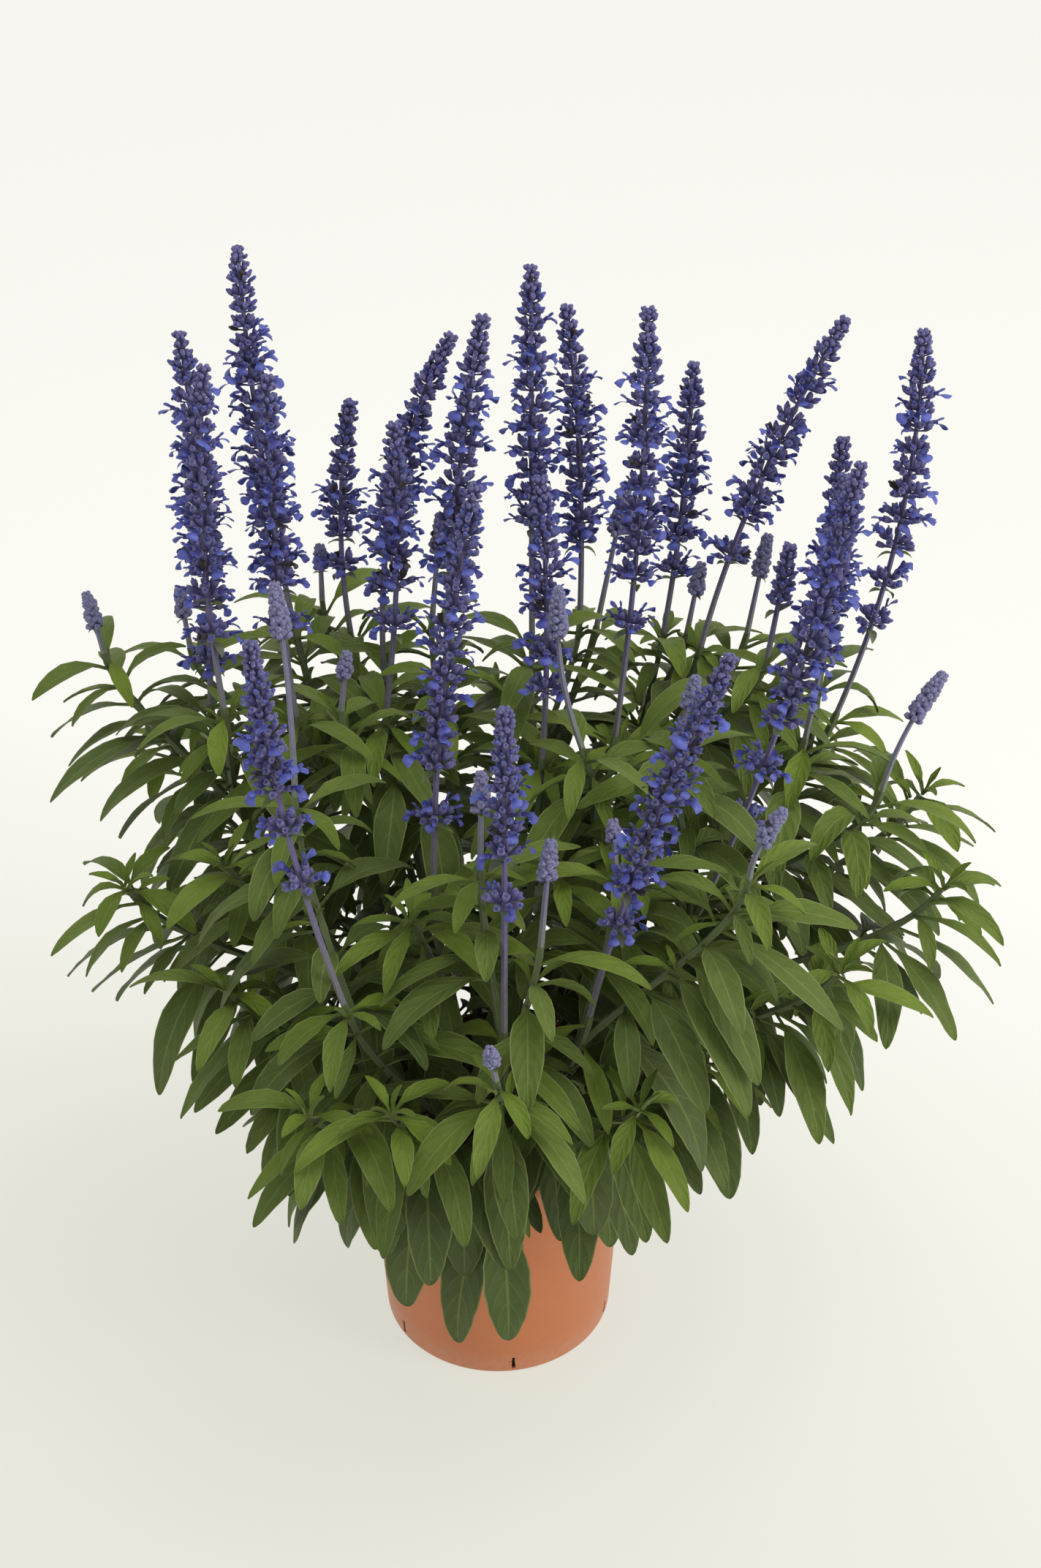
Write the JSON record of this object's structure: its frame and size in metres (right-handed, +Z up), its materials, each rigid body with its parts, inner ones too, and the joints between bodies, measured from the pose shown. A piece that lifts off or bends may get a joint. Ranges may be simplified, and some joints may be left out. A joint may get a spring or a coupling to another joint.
{
  "type": "potted perennial salvia",
  "caption": "Bushy perennial salvia with upright violet-blue flower spikes above a mound of lance-shaped leaves, in a round tapered plastic pot.",
  "frame": {"origin": "centre of the pot's flat underside, where it stands on the ground", "axes": "+Z up through the middle of the pot, the plant's front towards -Y, +X to the right seen from the front"},
  "size_m": [0.5979, 0.5074, 0.672],
  "materials": {
    "pot_plastic": "satin moulded plastic in a terracotta colour",
    "compost": "damp crumbly peat compost",
    "foliage": "soft matt green leaf with a light sheen, on ridged green stems",
    "flowers": "velvety violet-blue petals in grey-violet downy calyces",
    "flower_buds": "grey-lavender downy closed buds"
  },
  "bodies": {
    "root": {"pot": "pot_plastic", "soil": "compost", "stem_01": "foliage", "stem_02": "foliage", "stem_03": "foliage", "stem_04": "foliage", "stem_05": "foliage", "stem_06": "foliage", "stem_07": "foliage", "stem_08": "foliage", "stem_09": "foliage", "stem_10": "foliage", "stem_11": "foliage", "stem_12": "foliage", "stem_13": "foliage", "stem_14": "foliage", "stem_15": "foliage", "stem_16": "foliage", "stem_17": "foliage", "spike_01": "flowers", "spike_02": "flowers", "spike_03": "flowers", "spike_04": "flowers", "spike_05": "flowers", "spike_06": "flowers", "spike_07": "flowers", "spike_08": "flowers", "spike_09": "flowers", "spike_10": "flowers", "spike_11": "flowers", "spike_12": "flowers", "spike_13": "flowers", "spike_14": "flowers", "spike_15": "flowers", "spike_16": "flowers", "spike_17": "flowers", "spike_18": "flowers", "spike_19": "flowers", "spike_20": "flowers", "spike_21": "flowers", "spike_22": "flowers", "spike_23": "flowers", "bud_01": "flower_buds", "bud_02": "flower_buds", "bud_03": "flower_buds", "bud_04": "flower_buds", "bud_05": "flower_buds", "bud_06": "flower_buds", "bud_07": "flower_buds", "bud_08": "flower_buds", "bud_09": "flower_buds", "bud_10": "flower_buds", "bud_11": "flower_buds", "bud_12": "flower_buds", "bud_13": "flower_buds", "bud_14": "flower_buds", "bud_15": "flower_buds", "bud_16": "flower_buds", "bud_17": "flower_buds"}
  },
  "joints": []
}
